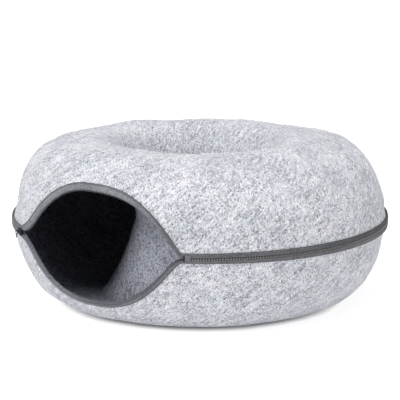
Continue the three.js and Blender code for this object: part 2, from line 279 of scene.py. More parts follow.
def set_inputs(tree, made, inputs):
    """Sets inputs of a node to plain values, or links them to outputs of other nodes."""
    for key, value in inputs.items():
        if isinstance(value, bpy.types.NodeSocket):
            tree.links.new(value, made.inputs[key])
        else:
            made.inputs[key].default_value = value


def node(tree, kind, inputs=None, **settings):
    made = tree.nodes.new("ShaderNode" + kind)
    for key, value in settings.items():
        setattr(made, key, value)
    set_inputs(tree, made, inputs or {})
    return made


def compute(tree, operation, first, second=0.0):
    return node(tree, "Math", {0: first, 1: second}, operation=operation).outputs[0]


def noise(tree, vector, size, detail=2.0, roughness=0.5):
    """Noise of about the given size, in metres."""
    inputs = {"Vector": vector, "Scale": 1.0 / size, "Detail": detail, "Roughness": roughness}
    return node(tree, "TexNoise", inputs).outputs[0]


def streaks(tree, vector, way, width, length):
    """Noise drawn out along one direction in space, as a mat of fibres that all lie one way."""
    inputs = {"Vector": vector, "Rotation": (0.0, *way), "Scale": (width, width, length)}
    turned = node(tree, "Mapping", inputs, vector_type="TEXTURE")
    return noise(tree, turned.outputs[0], 1.0, detail=1.0)


def weighted(tree, layers, weights, offset=0.0):
    """Sum of the named layers, each times its weight, plus an offset."""
    total = offset
    for name, weight in weights.items():
        inputs = {0: layers[name], 1: weight, 2: total}
        total = node(tree, "Math", inputs, operation="MULTIPLY_ADD").outputs[0]
    return total


def wave(tree, value, length):
    return compute(tree, "SINE", compute(tree, "MULTIPLY", value, 2 * math.pi / length))


def strongest(tree, values, operation):
    """The largest or smallest of several values."""
    return functools.reduce(functools.partial(compute, tree, operation), values)


def ramp(tree, factor, stops):
    made = node(tree, "ValToRGB", {0: factor})
    elements, stops = made.color_ramp.elements, list(stops)
    while len(elements) < len(stops):
        elements.new(0.5)
    for element, (position, color) in zip(elements, stops):
        element.position = position
        element.color = (*color, 1.0)
    return made.outputs[0]


def mixed(tree, share, first, second, blend="MIX"):
    """Blend of two colours by a share, from the sockets that the node keeps for colours."""
    inputs = {0: share, 6: first, 7: second}
    return node(tree, "Mix", inputs, data_type="RGBA", blend_type=blend).outputs[2]


def multiplied(tree, color, tint, share=1.0):
    """Multiplies a colour by a tint, wholly or in part."""
    return mixed(tree, share, color, tint, "MULTIPLY")


def scaled(tree, vector, scale):
    return node(tree, "VectorMath", {0: vector, "Scale": scale}, operation="SCALE").outputs[0]


def bump(tree, height, strength, distance):
    inputs = {"Height": height, "Strength": strength, "Distance": distance}
    return node(tree, "Bump", inputs).outputs[0]


def clearance(tree, reach, samples):
    """1 where nothing stands within reach of a surface, down to 0 where it is closed in."""
    return node(tree, "AmbientOcclusion", {"Distance": reach}, samples=samples).outputs["AO"]


# ---------- look of the felt ----------
# Textures have their sizes in metres.
# Ways of the fibre mats: tilt from upright and turn about the ring's axis, in radians.
MAT_WAYS = [(0.15, 0.0), (0.7, 0.2), (0.8, 3.0), (1.3, 0.1), (1.45, 1.2), (1.1, -0.9), (1.2, 2.2)]
MAT = {"width": 0.0011, "length": 0.0042}
FINE_WAYS = [(0.6, 0.1), (1.2, 0.9), (0.5, 2.8), (1.4, -0.4)]
FINE = {"width": 0.0005, "length": 0.0045}
# Lean of the combed fibres away from the straight way over the ring.
COMB_LEANS = [-0.15, -0.6, 0.2]
COMB = {"width": 0.0014, "length": 0.0045}
CLUMP = {"lean": -0.4, "width": 0.006, "length": 0.01}
# Typical radii: the ring, the middle line of its tube and the tube's section.
TUBE = {"around": 0.2, "middle_radius": 0.162, "across": 0.095}
FELT_NOISES = {
    "cloud": {"size": 0.05}, "grain": {"size": 0.0011, "detail": 1.0}, "tint": {"size": 0.022},
}
# Dark flecks show where their noise falls below this level.
FLECK = {"size": 0.0021, "roughness": 0.6, "level": 0.45}
# Weight of each layer in the felt's tone and in its relief. The inside weight lifts the tone of the
# inner face, painted light on the lining.
TONE_WEIGHTS = {
    "light": 0.85, "dark": 0.85, "hair": 0.6, "combed_light": 0.8, "combed_dark": 0.8,
    "grain": 0.9, "clump": 0.52, "cloud": 0.3, "fleck_depth": -3.4, "inside": 0.03,
}
TONE_OFFSET = -2.36
RELIEF_WEIGHTS = {"light": 0.8, "dark": 0.6, "hair": 0.5, "combed_light": 0.8, "clump": 0.5}
RELIEF = {"strength": 0.5, "distance": 0.0012}
# Tone that stays as it is when the less worn inner face gets this much more contrast.
MIDDLE_TONE = 0.5
INNER_CONTRAST = 0.6
# Felt colour from its darkest fibres to its lightest.
FELT_TONES = [
    (0.06, (0.14, 0.15, 0.175)), (0.29, (0.35, 0.362, 0.40)), (0.5, (0.60, 0.61, 0.655)),
    (0.71, (0.78, 0.785, 0.82)), (0.92, (0.89, 0.89, 0.91)),
]
FELT_TINTS = [(0.35, (0.985, 1.0, 1.015)), (0.65, (1.012, 0.992, 0.998))]
# Only the outer face catches a faint shine; the inner face is matt.
FELT_SHINE = {"Specular IOR Level": 0.15, "Sheen Weight": 0.12}
FELT_ROUGHNESS = {"Roughness": 0.95, "Sheen Roughness": 0.6}
# Painted shade on the lining: near black where it is closed in, and a slight painted light,
# lighter and bluer than its own colour, where it is open.
LINING_PAINTED_SHADE = {
    "reach": 0.24, "samples": 8, "shades": [(0.09, (0.006, 0.006, 0.008)), (0.15, (1.09, 1.11, 1.17))],
}
# Degrees from the entrance's middle over which the lining turns to its deep painted shade.
DEEP_PAINTED_SHADE = {"from": 40.0, "to": 72.0, "shades": [(0.0, (1.0, 1.0, 1.0)), (1.0, (0.25, 0.25, 0.27))]}


def tube_place(tree, place):
    """Direction from the ring's axis, and distance walked over the ring from hem to hole."""
    axes = node(tree, "SeparateXYZ", {0: place}).outputs
    flat = node(tree, "CombineXYZ", {0: axes[0], 1: axes[1]}).outputs[0]
    radius = node(tree, "VectorMath", {0: flat}, operation="LENGTH").outputs["Value"]
    way = node(tree, "VectorMath", {0: flat}, operation="NORMALIZE").outputs[0]
    up = compute(tree, "SUBTRACT", axes[2], MIDDLE_HEIGHT * MM)
    outwards = compute(tree, "SUBTRACT", radius, TUBE["middle_radius"])
    return way, compute(tree, "ARCTAN2", up, outwards)


def combed(tree, way, turn, lean, width, length):
    """Noise drawn out over the ring from hem to hole, leaning to one side."""
    inputs = {"Vector": way, "Angle": compute(tree, "MULTIPLY", turn, lean)}
    leaning = node(tree, "VectorRotate", inputs, rotation_type="Z_AXIS").outputs[0]
    across = scaled(tree, leaning, TUBE["around"] / width)
    shift = compute(tree, "MULTIPLY", turn, TUBE["across"] / length)
    lift = node(tree, "CombineXYZ", {2: shift}).outputs[0]
    spot = node(tree, "VectorMath", {0: across, 1: lift}, operation="ADD").outputs[0]
    return noise(tree, spot, 1.0, detail=1.0)


def felt_layers(tree, place):
    """Named layers of the felt: light and dark fibres, hairs, flecks, clumps and slow changes."""
    way, turn = tube_place(tree, place)
    mats = [streaks(tree, place, lie, **MAT) for lie in MAT_WAYS]
    fine = [streaks(tree, place, lie, **FINE) for lie in FINE_WAYS]
    comb = [combed(tree, way, turn, lean, **COMB) for lean in COMB_LEANS]
    fleck = noise(tree, place, FLECK["size"], roughness=FLECK["roughness"])
    fleck_depth = compute(tree, "SUBTRACT", FLECK["level"], fleck)
    return dict(
        {name: noise(tree, place, **settings) for name, settings in FELT_NOISES.items()},
        light=strongest(tree, mats, "MAXIMUM"),
        dark=strongest(tree, mats, "MINIMUM"),
        hair=strongest(tree, fine, "MAXIMUM"),
        combed_light=strongest(tree, comb, "MAXIMUM"),
        combed_dark=strongest(tree, comb, "MINIMUM"),
        clump=combed(tree, way, turn, **CLUMP),
        fleck_depth=compute(tree, "MAXIMUM", fleck_depth, 0.0),
        inside=mark_value(tree, "inside"),
    )


def felt_color(tree, layers):
    """Colour of the felt from its layers, with more contrast inside and painted shade on the lining."""
    tone = weighted(tree, layers, TONE_WEIGHTS, TONE_OFFSET)
    departure = compute(tree, "SUBTRACT", tone, MIDDLE_TONE)
    inner = {"departure": compute(tree, "MULTIPLY", departure, layers["inside"])}
    tone = weighted(tree, inner, {"departure": INNER_CONTRAST}, tone)
    color = multiplied(tree, ramp(tree, tone, FELT_TONES), ramp(tree, layers["tint"], FELT_TINTS))
    # Painted shade: the lining darkens where it is closed in and away from the entrance.
    openness = clearance(tree, LINING_PAINTED_SHADE["reach"], LINING_PAINTED_SHADE["samples"])
    color = multiplied(tree, color, ramp(tree, openness, LINING_PAINTED_SHADE["shades"]), layers["inside"])
    return multiplied(tree, color, ramp(tree, mark_value(tree, "deep"), DEEP_PAINTED_SHADE["shades"]))


def felt_material():
    """Needle felt, rough all over, with a faint shine on its outer face only."""
    material, tree, shader = new_material("felt_melange")
    layers = felt_layers(tree, node(tree, "TexCoord").outputs["Object"])
    outside = compute(tree, "SUBTRACT", 1.0, layers["inside"])
    shine = {name: compute(tree, "MULTIPLY", outside, amount) for name, amount in FELT_SHINE.items()}
    relief = bump(tree, weighted(tree, layers, RELIEF_WEIGHTS), **RELIEF)
    inputs = {"Base Color": felt_color(tree, layers), "Normal": relief, **shine, **FELT_ROUGHNESS}
    set_inputs(tree, shader, inputs)
    return material


# ---------- look of the zip ----------
WEAVE = {"rib": 0.0011, "line": 0.0007}
TAPE_NOISES = {
    "patches": {"size": 0.0026, "detail": 3.0, "roughness": 0.6},
    "grain": {"size": 0.0011, "detail": 1.0},
    "wear": {"size": 0.03},
}
# Weight of each layer in the tape's mottling and in its relief.
MOTTLE_WEIGHTS = {"weave": 0.05, "patches": 0.9, "grain": 0.7, "wear": 0.35}
MOTTLE_OFFSET = -0.475
TAPE_RELIEF_WEIGHTS = {"weave": 1.0, "patches": 1.5}
TAPE_RELIEF = {"strength": 0.4, "distance": 0.0003}
TAPE_SURFACE = {"Roughness": 0.8, "Specular IOR Level": 0.15}
# Darker and lighter threads, as shares of the tape's own colour.
MOTTLE_TINTS = [(0.25, (0.55, 0.55, 0.57)), (0.5, (1.0, 1.0, 1.0)), (0.75, (1.45, 1.45, 1.43))]
# Share by which painted light lifts the tape's colour and painted shade deepens it.
PAINTED_LIGHT_LIFT = 0.45
# Tape colours from the chain edge (0) to the outer edge (1), closed and where the lips are open:
# the tape's own dark grey, with lighter and darker bands and a dark outer edge that are painted
# light and shade, and paler open lips that are a painted sheen.
TAPE_PAINTED_SHADES = {
    "upper": (
        [(0.0, (0.12, 0.121, 0.13)), (0.25, (0.15, 0.152, 0.163)), (0.5, (0.105, 0.107, 0.116)),
         (0.85, (0.14, 0.142, 0.153)), (0.95, (0.09, 0.09, 0.098))],
        [(0.0, (0.22, 0.225, 0.245)), (0.5, (0.245, 0.25, 0.272)), (0.62, (0.165, 0.17, 0.188)),
         (0.8, (0.145, 0.15, 0.166)), (0.9, (0.075, 0.076, 0.085)), (1.0, (0.10, 0.103, 0.115))],
    ),
    "lower": (
        [(0.0, (0.04, 0.04, 0.043)), (0.3, (0.10, 0.10, 0.105)), (0.5, (0.145, 0.14, 0.15)),
         (0.8, (0.14, 0.137, 0.146)), (0.95, (0.08, 0.08, 0.088))],
        [(0.0, (0.13, 0.133, 0.15)), (0.2, (0.09, 0.092, 0.105)), (0.4, (0.17, 0.175, 0.197)),
         (0.72, (0.17, 0.175, 0.197)), (0.88, (0.075, 0.077, 0.088)), (1.0, (0.065, 0.067, 0.075))],
    ),
}
# Looks of the small pieces: darkest and lightest colour, size of the mottling, range of
# roughness, and how metallic (0) and glossy (0.5) they are where they differ from plain resin.
SMALL_LOOKS = {
    "end_tab_weave": ((0.105, 0.10, 0.115), (0.165, 0.16, 0.178), 0.002, (0.7, 0.9)),
    "thread": ((0.10, 0.10, 0.11), (0.19, 0.19, 0.20), 0.002, (0.7, 0.9)),
    "tooth_resin": ((0.10, 0.10, 0.105), (0.17, 0.17, 0.18), 0.003, (0.5, 0.7)),
    # Lighter and darker copies of the teeth's resin: painted light on the lower teeth, painted shade on
    # the upper tips.
    "resin_painted_light": ((0.15, 0.15, 0.156), (0.25, 0.248, 0.255), 0.003, (0.5, 0.7)),
    "resin_painted_shade": ((0.015, 0.015, 0.017), (0.04, 0.04, 0.043), 0.003, (0.6, 0.8)),
    "slider_enamel": ((0.008, 0.008, 0.01), (0.025, 0.025, 0.028), 0.004, (0.5, 0.7), 0.0, 0.25),
    "pull_metal": ((0.10, 0.10, 0.105), (0.17, 0.17, 0.18), 0.003, (0.4, 0.6), 0.3),
}
SPECKLE_AT = (0.3, 0.7)
SPECKLE_RELIEF = {"strength": 0.15, "distance": 0.0002}


def tape_layers(tree):
    """Named layers of the tape: its weave of crossed ribs, and noises of several sizes."""
    place = node(tree, "TexCoord").outputs["Object"]
    across = node(tree, "UVMap", uv_map="across").outputs[0]
    axes = node(tree, "SeparateXYZ", {0: across}).outputs
    ribs, lines = wave(tree, axes[0], WEAVE["rib"]), wave(tree, axes[1], WEAVE["line"])
    return dict(
        {name: noise(tree, place, **settings) for name, settings in TAPE_NOISES.items()},
        weave=compute(tree, "MULTIPLY", ribs, lines),
        painted_light=mark_value(tree, "painted_light"),
    )


def tape_material(name, shades):
    """Woven zip tape, with painted light and shade across it, on its open lips and at the sides."""
    material, tree, shader = new_material(name)
    layers = tape_layers(tree)
    outwards = mark_value(tree, "outwards")
    closed_color, open_color = (ramp(tree, outwards, stops) for stops in shades)
    # The open lips' paler colour is a painted sheen.
    color = mixed(tree, mark_value(tree, "open"), closed_color, open_color)
    mottle = weighted(tree, layers, MOTTLE_WEIGHTS, MOTTLE_OFFSET)
    color = multiplied(tree, color, ramp(tree, mottle, MOTTLE_TINTS))
    # Painted light and shade on the ring's sides and the lip's left part.
    color = scaled(tree, color, weighted(tree, layers, {"painted_light": PAINTED_LIGHT_LIFT}, 1.0))
    relief = bump(tree, weighted(tree, layers, TAPE_RELIEF_WEIGHTS), **TAPE_RELIEF)
    set_inputs(tree, shader, {"Base Color": color, "Normal": relief, **TAPE_SURFACE})
    return material


def speckled_material(name, dark, light, size, roughness, metallic=0.0, gleam=0.5):
    """Plain material with a faint mottling in its colour and gloss."""
    material, tree, shader = new_material(name)
    place = node(tree, "TexCoord").outputs["Object"]
    patches = noise(tree, place, size, detail=3.0)
    gloss = node(tree, "MapRange", {0: patches, 3: roughness[0], 4: roughness[1]}).outputs[0]
    inputs = {
        "Base Color": ramp(tree, patches, zip(SPECKLE_AT, (dark, light))),
        "Roughness": gloss,
        "Normal": bump(tree, patches, **SPECKLE_RELIEF),
        "Metallic": metallic,
        "Specular IOR Level": gleam,
    }
    set_inputs(tree, shader, inputs)
    return material


# ---------- felt halves ----------
# Lumps of the felt: their size, their height and the seed of their waves.
LUMPS = [(95.0, 0.9, 3), (30.0, 0.35, 8), (11.0, 0.16, 15)]
WAVES_PER_LUMP = 22
# Shortest and longest wave of a lump, as shares of its size.
WAVE_RANGE = (0.7, 1.5)
EDGE_ROUND = 1.2
# Rows close to a cut edge of the felt, as distances from it.
EDGE_ROWS = [0.0, 0.08, 0.25, 0.55, 1.2, 2.4]
# The lumps die away at the felt's edges and at the floor: distances over which they grow.
LUMPS_GROW = {"lip": (6.0, 26.0), "waist": (3.0, 20.0), "floor": (0.5, 14.0)}
# Stops along the upper (1) and lower (-1) wall: a distance and the rows that lead up to it.
STOPS = {
    1: [(CREST_DISTANCE, ROWS["shoulder"]), (WALLS[1].length - EDGE_ROWS[-1], ROWS["dish"])],
    -1: [
        (BASE_DISTANCE, ROWS["belly"]),
        (BASE_DISTANCE + BASE_WIDTH, ROWS["base"]),
        (WALLS[-1].length - EDGE_ROWS[-1], ROWS["cone"]),
    ],
}


def lumpiness(points):
    """Height of the felt's unevenness at points, from waves that run in random directions."""
    height = np.zeros(points.shape[:-1])
    for size, rise, seed in LUMPS:
        dice = np.random.default_rng(seed)
        directions = unit(dice.normal(size=(WAVES_PER_LUMP, 3)))
        lengths = size * dice.uniform(*WAVE_RANGE, WAVES_PER_LUMP)
        phases = dice.uniform(0.0, 2 * math.pi, WAVES_PER_LUMP)
        for direction, length, phase in zip(directions, lengths, phases):
            turns = points @ direction * (2 * math.pi / length) + phase
            height += rise * math.sqrt(2.0 / WAVES_PER_LUMP) * np.sin(turns)
    return height


def row_distances(start, stops, last):
    """Distances of the rows of each station, with fine rows near both ends."""
    level = np.zeros_like(STATIONS)
    rows = [start + edge for edge in EDGE_ROWS]
    before = rows.pop()
    for at, count in stops:
        rows += [lerp(before, at, share) for share in np.arange(count) / count]
        before = at + level
    rows += [last - edge + level for edge in EDGE_ROWS[::-1]]
    return np.stack(rows, axis=-1)


def edge_inset(distance_to_edge):
    """How far a rounded edge has fallen back, at a distance from the cut."""
    short = np.clip(EDGE_ROUND - distance_to_edge, 0.0, EDGE_ROUND)
    return EDGE_ROUND - np.sqrt(EDGE_ROUND**2 - short**2)


def felt_faces(wall, side, distance):
    """Outer and inner face of a felt half, as grids of points at distances along its wall."""
    azimuth = STATIONS[:, None]
    from_lip, from_waist = distance - distance[:, :1], distance[:, -1:] - distance
    point, normal = wall.at(distance), wall.normal(distance, side)
    out = around(azimuth, normal[..., 0], normal[..., 1])
    middle = point - normal * FELT_THICKNESS / 2
    bulge = lumpiness(around(azimuth, middle[..., 0], middle[..., 1]))
    for edge, away in (("lip", from_lip), ("waist", from_waist), ("floor", point[..., 1])):
        bulge *= smoothstep(away, *LUMPS_GROW[edge])
    shift = out * bulge[..., None]
    lip_inset = edge_inset(from_lip)
    sunk = lip_inset + edge_inset(from_waist)
    face = around(azimuth, point[..., 0], settled(azimuth, point[..., 1]))
    inner = face - out * (FELT_THICKNESS - lip_inset)[..., None] + shift
    outer = face - out * sunk[..., None] + shift
    return outer, keep_on_side(inner, side)


def felt_half(half, lip, material):
    """One half of the ring, its outer and inner face joined into a closed sheet."""
    side, wall = lip["side"], WALLS[lip["side"]]
    start = TAPE["hem"] + lip_lift(STATIONS, lip)
    distance = row_distances(start, STOPS[side], wall.length - SEAM_GAP / 2)
    outer, inner = felt_faces(wall, side, distance)
    grid = np.concatenate([outer, inner[:, ::-1]], axis=1)
    is_inside = np.concatenate([np.zeros(outer.shape[1]), np.ones(inner.shape[1])])
    # Painted shade on the lining, deepening away from the entrance.
    from_entrance = degrees_apart(STATIONS, ENTRANCE["middle"])[:, None]
    is_deep = smoothstep(from_entrance, DEEP_PAINTED_SHADE["from"], DEEP_PAINTED_SHADE["to"]) * is_inside
    piece = ring_object(f"felt_{half}", grid, side, {"inside": is_inside, "deep": is_deep})
    return finish_piece(piece, material, "felt", f"{half}_shell")


# ---------- zip tapes ----------
# Degrees over which the open tape grows from its slim width beside the right corner.
SLIM_SPAN = 26.0
# Azimuths between which the left part of a lip becomes flatter, and between which it gets painted
# light.
FLAT_LEFT, PAINTED_LIGHT_LEFT = (-30.0, -52.0), (-36.0, -46.0)


def turn_in(azimuth, lip, open_share):
    """How far the chain edge of a tape turns in towards the tunnel."""
    flatness = lip["flat_left"] * smoothstep(azimuth, *FLAT_LEFT)
    return TAPE["turn"] * open_share * (1.0 - flatness)


def tape_width(azimuth, lip, open_share):
    to_corner = smoothstep(ENTRANCE["right"] - azimuth, 0.0, SLIM_SPAN)
    slimmed = lerp(lip["slim_reach"], lip["open_reach"], to_corner)
    return lerp(closed_reach(azimuth, lip), slimmed, open_share)


def tape_frames(azimuth, lip):
    """Frames of the tape at the given azimuths: outer edge, ways across and out, and its width."""
    side, wall = lip["side"], WALLS[lip["side"]]
    open_share = smoothstep(lip_lift(azimuth, lip), 0.0, TAPE["opening"])
    closed = 1.0 - open_share

    def edge_at(angle):
        distance = tape_edge(angle, lip)
        point = wall.at(distance) + wall.normal(distance, side) * SEAM_GAP
        radius = lerp(point[..., 0], TAPE["back_radius"], closed)
        return around(angle, radius, settled(angle, point[..., 1]))

    flat = wall.normal(tape_edge(azimuth, lip), side)
    wall_normal = around(azimuth, flat[..., 0], flat[..., 1])
    along = unit(edge_at(azimuth + PROBE["azimuth"]) - edge_at(azimuth - PROBE["azimuth"]))
    upright = np.array([0.0, 0.0, -side])
    across = unit(np.cross(wall_normal, along) * -side)
    across = unit(lerp(across, upright, closed[..., None]))
    out = unit(np.cross(across, along) * side)
    edge = edge_at(azimuth)
    room = (np.abs(edge[..., 2] - MIDDLE_HEIGHT) - SEAM_GAP / 2) / np.abs(across[..., 2])
    reach = np.minimum(tape_width(azimuth, lip, open_share), room)
    turn = turn_in(azimuth, lip, open_share)
    ways = {"along": along, "across": across, "out": out}
    return {"edge": edge, "reach": reach, "open": open_share, "turn": turn, **ways}


def on_tape(frames, from_chain, height):
    """Point of a tape at a distance from its chain edge and a height over its back face."""
    reach = frames["reach"]
    share = 1.0 - from_chain / reach
    flat_share = TAPE["flat"] / reach
    bend = np.maximum(share - flat_share, 0.0) / (1.0 - flat_share)
    drop = frames["turn"] * bend ** TAPE["bend_power"]
    rise = (height - drop)[..., None] * frames["out"]
    return frames["edge"] + frames["across"] * (reach - from_chain)[..., None] + rise


# Front of the tape near its chain edge: distance from that edge, and the share of its thickness
# there, where the lip is open, on the closed upper tape and on the closed lower tape.
CHAIN_SIDE = [
    (0.0, 0.35, 0.12, 0.10), (0.25, 0.72, 0.12, 0.12), (0.75, 0.93, 0.14, 0.12),
    (0.9, 0.96, 0.62, 0.12), (1.1, 0.99, 0.88, 0.12), (1.5, 1.02, 1.0, 0.12),
    (1.8, 1.02, 1.02, 0.14), (1.95, 1.03, 1.02, 0.62), (2.15, 1.03, 1.02, 0.86),
    (2.45, 1.02, 1.0, 0.97), (2.85, 0.96, 1.0, 1.0), (3.05, 0.80, 0.98, 1.0),
    (3.3, 0.80, 0.97, 1.0), (3.6, 0.96, 0.97, 1.0),
]
# The rest of the front: share of the way on to the outer edge, and share of the thickness.
OUTER_SIDE = [
    (0.15, 1.0), (0.4, 1.02), (0.62, 1.0), (0.74, 0.93), (0.82, 0.90),
    (0.9, 0.93), (0.955, 0.80), (0.985, 0.58), (1.0, 0.25),
]
BACK_SHARES = [1.0, 0.7, 0.4, 0.0]


def tape_section(frames, side):
    """Columns of one tape, each a distance from the chain edge and a height, for all stations."""
    reach, opened = frames["reach"], frames["open"]
    last = CHAIN_SIDE[-1][0]
    columns = []

    def thickness(from_chain):
        return lerp(TAPE["chain_thickness"], TAPE["edge_thickness"], from_chain / reach)

    for at, open_height, upper_height, lower_height in CHAIN_SIDE:
        closed_height = upper_height if side > 0 else lower_height
        from_chain = np.full_like(reach, at)
        columns.append((from_chain, thickness(at) * lerp(closed_height, open_height, opened)))
    for share, height in OUTER_SIDE:
        from_chain = lerp(last, reach, share)
        columns.append((from_chain, thickness(from_chain) * height))
    for share in BACK_SHARES:
        columns.append((reach * share, np.zeros_like(reach)))
    return columns


# Sides of the ring: azimuth, and degrees from it over which the painted light and shade there fade.
LEFT_SIDE, RIGHT_SIDE = (-90.0, 20.0, 45.0), (90.0, 30.0, 65.0)


def beside(azimuth, near, far):
    """1 near an azimuth and 0 away from it, for all stations."""
    return 1.0 - smoothstep(degrees_apart(STATIONS, azimuth), near, far)


def tape_marks(lip, opened):
    """Painted sheen of the open tape, and painted light and shade by the ring's sides, for all
    stations.
    """
    # Painted sheen on the open lips; beside the right corner it may come in only slowly, leaving
    # painted shade.
    fade = np.where(STATIONS > ENTRANCE["middle"], lip["pale_after"], TAPE["opening"])
    pale = smoothstep(lip_lift(STATIONS, lip), 0.0, fade)
    # Painted light on the closed tape at the ring's left side and on the open lip's left part.
    painted_light_lip = lip["left_painted_light"] * smoothstep(STATIONS, *PAINTED_LIGHT_LEFT) * opened
    painted_light = np.maximum(beside(*LEFT_SIDE) * (1.0 - opened), painted_light_lip)
    painted_light += beside(*RIGHT_SIDE) * lip["right_painted_light"]
    return {"open": pale[:, None], "painted_light": painted_light[:, None]}


def walked_round(points):
    """Distances in metres walked round a closed line of points, back to its start."""
    return walked(np.concatenate([points, points[:1]])) * MM


def zip_tape(half, lip, material):
    """The tape of one half, round the ring and along its lip."""
    side, frames = lip["side"], tape_frames(STATIONS, lip)
    columns = tape_section(frames, side)
    grid = np.stack([on_tape(frames, *column) for column in columns], axis=1)
    grid = keep_on_side(grid, side)
    marks = tape_marks(lip, frames["open"])
    marks["outwards"] = np.stack([from_chain / frames["reach"] for from_chain, _ in columns], axis=1)
    along, across = walked_round(grid[:, 0]), walked_round(grid[0])
    piece = ring_object(f"tape_{half}", grid, side, marks, along, across)
    finish_piece(piece, material, "zip_tape", f"{half}_zip_tape")


# ---------- rows of small repeated pieces along the zip ----------
def placed(shape, middle, ways):
    """Copies of a small shape at each middle, with its x, y and z turned to the three ways."""
    points = middle[..., None, :]
    for axis, way in enumerate(ways):
        points = points + shape[:, axis, None] * way[..., None, :]
    return points


def scattered(name, shape, faces, middle, *ways):
    """One object with a copy of a small shape at each middle."""
    count = len(shape)
    all_faces = [[i * count + k for k in face] for i in range(len(middle)) for face in faces]
    return add_object(name, placed(shape, middle, ways).reshape(-1, 3), all_faces)


def tube_faces(rings, count):
    """Faces of a closed solid that is a run of rings with the same number of points."""
    last = (rings - 1) * count
    faces = [list(range(count)), list(range(last, last + count))[::-1]]
    for low in range(0, last, count):
        for k in range(count):
            n = (k + 1) % count
            faces.append([low + k, low + count + k, low + count + n, low + n])
    return faces


def flipped(faces):
    """The same faces, turned to their other side."""
    return [face[::-1] for face in faces]


def stacked(outline, layers):
    """Closed solid from an outline (x, y) repeated at heights, each layer (z, scale, shift y)."""
    outline = np.asarray(outline, float)
    rings = []
    for height, scale, shift in layers:
        flat = outline * scale + [0.0, shift]
        rings.append(np.column_stack([flat, np.full(len(outline), height)]))
    return np.concatenate(rings), flipped(tube_faces(len(layers), len(outline)))


TOOTH_PITCH = 3.4
# Tooth outlines, from the zip line: x along the zip and y away from the tooth's own tape.
TOOTH = [
    (-1.05, -3.3), (1.05, -3.3), (0.98, -2.1), (0.62, -0.8),
    (0.24, -0.35), (-0.24, -0.35), (-0.62, -0.8), (-0.98, -2.1),
]
TIP = [(-0.72, -0.9), (0.72, -0.9), (0.6, 0.7), (0.36, 1.45), (-0.36, 1.45), (-0.6, 0.7)]
# rise is the middle's height over the zip line; back and fronts are heights over the tapes' back.
CHAIN = {
    "from": -2.1, "to": 289.9, "rise": 0.95, "back": 0.2, "tooth_front": 2.0, "tip_front": 1.2,
    "bevel": 0.3, "taper": 0.72,
}


def chain_row(name, azimuth, outline, up, front, material):
    """A row of teeth on the closed chain; up is 1 where they point up and -1 where down."""
    bevel = CHAIN["bevel"]
    face = (front, CHAIN["taper"], -bevel * up)
    shape, faces = stacked(outline, [(CHAIN["back"], 1.0, 0.0), (front - bevel, 1.0, 0.0), face])
    shape[:, 1] *= up
    faces = flipped(faces) if up < 0 else faces
    out, along = around(azimuth, 1.0, 0.0), around(azimuth + 90.0, 1.0, 0.0)
    middle = around(azimuth, TAPE["back_radius"], MIDDLE_HEIGHT + CHAIN["rise"])
    height = np.broadcast_to([0.0, 0.0, 1.0], out.shape)
    finish_piece(scattered(name, shape, faces, middle, along, height, out), material, "zip_tape")


def chain_teeth(lower_material, upper_material):
    """Teeth of the closed chain: the lower tape's show whole and the upper tape's as tips."""
    turns = math.radians(CHAIN["to"] - CHAIN["from"])
    count = int(turns * RIDGE_RADIUS / TOOTH_PITCH)
    azimuth = np.linspace(CHAIN["from"], CHAIN["to"], count)
    between = azimuth[:-1] + (azimuth[1] - azimuth[0]) / 2
    chain_row("zip_teeth_lower", azimuth, TOOTH, 1.0, CHAIN["tooth_front"], lower_material)
    chain_row("zip_teeth_upper", between, TIP, -1.0, CHAIN["tip_front"], upper_material)


FINE_STEP = 0.1


def evenly_spaced(lip, start, end, pitch, line):
    """Frames of a tape at even distances along a line, which is worked out from frames."""
    fine = np.arange(start, end, FINE_STEP)
    distance = walked(line(tape_frames(fine, lip)))
    spots = (np.arange(int(distance[-1] / pitch)) + 0.5) * pitch
    return tape_frames(np.interp(spots, distance, fine), lip)


LIP_TOOTH = [(-0.8, -0.6), (0.8, -0.6), (0.55, 1.3), (-0.55, 1.3)]
LIP_TEETH = {"from": -66.0, "to": -6.5, "height": -0.75, "half_thick": 0.55, "taper": 0.8}


def chain_edge(frames, height=0.0):
    return on_tape(frames, 0.0, height)


def lip_teeth(half, lip, material):
    """Teeth along an open lip, on the hidden side of its turned-in edge."""
    frames = evenly_spaced(lip, LIP_TEETH["from"], LIP_TEETH["to"], TOOTH_PITCH, chain_edge)
    middle = chain_edge(frames, LIP_TEETH["height"])
    across = unit(middle - on_tape(frames, PROBE["distance"], LIP_TEETH["height"]))
    out = unit(np.cross(frames["along"], across)) * lip["side"]
    thick, taper = LIP_TEETH["half_thick"], LIP_TEETH["taper"]
    shape, faces = stacked(LIP_TOOTH, [(-thick, taper, 0.0), (0.0, 1.0, 0.0), (thick, taper, 0.0)])
    faces = flipped(faces) if lip["side"] < 0 else faces
    piece = scattered(f"lip_teeth_{half}", shape, faces, middle, frames["along"], across, out)
    finish_piece(piece, material, "zip_tape")


# seat is a share of the thickness of the tape's edge.
STITCH = {
    "length": 3.0, "pitch": 4.0, "radius": 0.26, "from_edge": 1.45, "sink": 0.08, "seat": 0.95,
    "sides": 6,
}
# Rings of one stitch: share of its half length, share of its radius and height.
STITCH_RINGS = [(-1.0, 0.45, -0.22), (-0.62, 1.0, 0.0), (0.62, 1.0, 0.0), (1.0, 0.45, -0.22)]


def stitch_shape():
    """A short thread that dives into the cloth at both ends: x is its length and z is out."""
    half, count = STITCH["length"] / 2, STITCH["sides"]
    corners = np.radians(np.arange(count) * 360 / count)
    points = []
    for reach, scale, height in STITCH_RINGS:
        radius = STITCH["radius"] * scale
        for corner in corners:
            side, rise = radius * math.cos(corner), radius * math.sin(corner)
            points.append((half * reach, side, height + rise))
    return np.array(points), flipped(tube_faces(len(STITCH_RINGS), count))


def stitch_line(frames, height=1.0):
    return on_tape(frames, frames["reach"] - STITCH["from_edge"], height)


